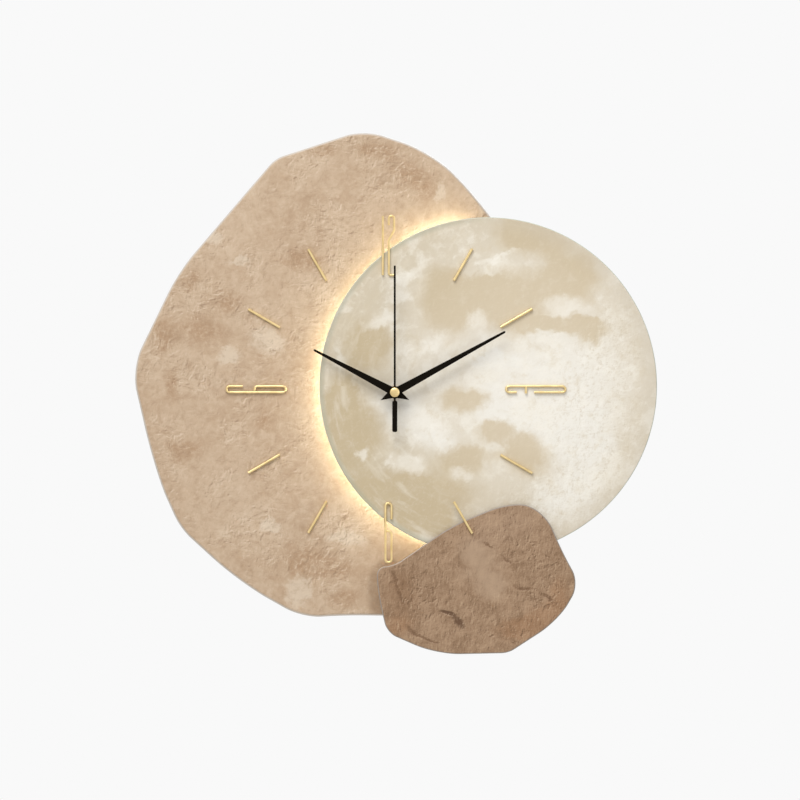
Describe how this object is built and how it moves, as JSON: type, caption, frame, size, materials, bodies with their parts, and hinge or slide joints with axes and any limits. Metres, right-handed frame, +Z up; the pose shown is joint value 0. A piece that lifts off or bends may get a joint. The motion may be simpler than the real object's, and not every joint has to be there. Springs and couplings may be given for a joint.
{
  "type": "wall clock",
  "caption": "Layered wall clock: a stone-pattern board, a backlit moon disc and a pebble board, with gold hour markers, black hands and a battery quartz movement.",
  "frame": {"origin": "the wall plane at the top of the keyhole slot, where the shank of the wall screw rests, straight above the hands' axis", "axes": "+X to the right as the clock is read, +Y from the clock into the wall, +Z up; the dial looks along -Y"},
  "size_m": [0.5017, 0.0605, 0.5007],
  "materials": {
    "stone_print": "matte",
    "moon_print": "satin",
    "pebble_print": "matte",
    "pine": "matte",
    "light_strip": "satin",
    "white_cable": "satin",
    "gold": "satin",
    "hand_black": "satin",
    "black_plastic": "satin",
    "white_plastic": "satin",
    "rubber": "matte",
    "brass": "satin",
    "steel": "satin",
    "copper_wire": "satin",
    "circuit_board": "satin",
    "cell_wrap": "satin"
  },
  "bodies": {
    "clock_body": {"stone_board": "stone_print", "moon_disc": "moon_print", "pebble_board": "pebble_print", "moon_block": "pine", "pebble_block": "pine", "light_carrier": "pine", "light_strip": "light_strip", "light_lead": "white_cable", "marker_1": "gold", "marker_2": "gold", "marker_3": "gold", "marker_4": "gold", "marker_5": "gold", "marker_6": "gold", "marker_7": "gold", "marker_8": "gold", "marker_9": "gold", "marker_10": "gold", "marker_11": "gold", "marker_12_one": "gold", "marker_12_two": "gold", "movement_case": "black_plastic", "movement_front": "black_plastic", "gasket": "rubber", "clamp_washer": "brass", "clamp_nut": "brass", "stator": "steel", "coil_bobbin": "white_plastic", "coil_winding": "copper_wire", "circuit_board": "circuit_board", "quartz_crystal": "steel", "clock_cell": "cell_wrap", "contact_positive": "steel", "contact_negative": "steel", "battery_box": "black_plastic", "light_cell_1": "cell_wrap", "light_cell_2": "cell_wrap", "light_cell_3": "cell_wrap", "box_contact_left": "steel", "box_contact_right": "steel", "top_batten": "pine", "bottom_batten": "pine", "keyhole_hanger": "steel", "hanger_screw_left": "steel", "hanger_screw_right": "steel"},
    "second_arbor": {"second_wheel": "white_plastic", "second_hand": "hand_black", "second_hand_cap": "gold"},
    "third_arbor": {"third_wheel": "white_plastic"},
    "centre_arbor": {"centre_wheel": "white_plastic"},
    "intermediate_arbor": {"intermediate_wheel": "white_plastic"},
    "rotor_arbor": {"rotor": "steel"},
    "minute_arbor": {"cannon_pinion": "brass", "minute_hand": "hand_black"},
    "setting_arbor": {"minute_wheel": "white_plastic", "setting_knob": "white_plastic"},
    "hour_arbor": {"hour_wheel": "white_plastic", "hour_hand": "hand_black"},
    "switch_slider": {"light_switch": "white_plastic"},
    "battery_lid": {"battery_box_lid": "black_plastic"}
  },
  "joints": [
    {"name": "second_hand_turn", "type": "hinge", "parent": "clock_body", "child": "second_arbor", "pos_m": [0, 0, -0.15], "axis": [0, 1, 0], "continuous": true},
    {"name": "third_wheel_turn", "type": "hinge", "parent": "clock_body", "child": "third_arbor", "pos_m": [-0.00094, 0, -0.13924], "axis": [0, 1, 0], "continuous": true},
    {"name": "centre_wheel_turn", "type": "hinge", "parent": "clock_body", "child": "centre_arbor", "pos_m": [0, 0, -0.15], "axis": [0, 1, 0], "continuous": true},
    {"name": "intermediate_wheel_turn", "type": "hinge", "parent": "clock_body", "child": "intermediate_arbor", "pos_m": [0.01116, 0, -0.15098], "axis": [0, 1, 0], "continuous": true},
    {"name": "rotor_turn", "type": "hinge", "parent": "clock_body", "child": "rotor_arbor", "pos_m": [0.01579, 0, -0.14546], "axis": [0, 1, 0], "continuous": true},
    {"name": "minute_hand_turn", "type": "hinge", "parent": "clock_body", "child": "minute_arbor", "pos_m": [0, 0, -0.15], "axis": [0, 1, 0], "continuous": true},
    {"name": "setting_knob_turn", "type": "hinge", "parent": "clock_body", "child": "setting_arbor", "pos_m": [-0.01063, 0, -0.14715], "axis": [0, 1, 0], "continuous": true},
    {"name": "hour_hand_turn", "type": "hinge", "parent": "clock_body", "child": "hour_arbor", "pos_m": [0, 0, -0.15], "axis": [0, 1, 0], "continuous": true},
    {"name": "light_switch_slide", "type": "slide", "parent": "clock_body", "child": "switch_slider", "axis": [1, 0, 0], "range_m": [0, 0.0035]},
    {"name": "battery_lid_slide", "type": "slide", "parent": "clock_body", "child": "battery_lid", "axis": [1, 0, 0], "range_m": [0, 0.054]}
  ],
  "couplings": [
    {"joint": "third_wheel_turn", "follows": "second_hand_turn", "ratio": -0.13333},
    {"joint": "centre_wheel_turn", "follows": "second_hand_turn", "ratio": 0.016667},
    {"joint": "intermediate_wheel_turn", "follows": "second_hand_turn", "ratio": -6},
    {"joint": "rotor_turn", "follows": "second_hand_turn", "ratio": 30},
    {"joint": "setting_knob_turn", "follows": "minute_hand_turn", "ratio": -0.33333},
    {"joint": "hour_hand_turn", "follows": "minute_hand_turn", "ratio": 0.083333}
  ]
}
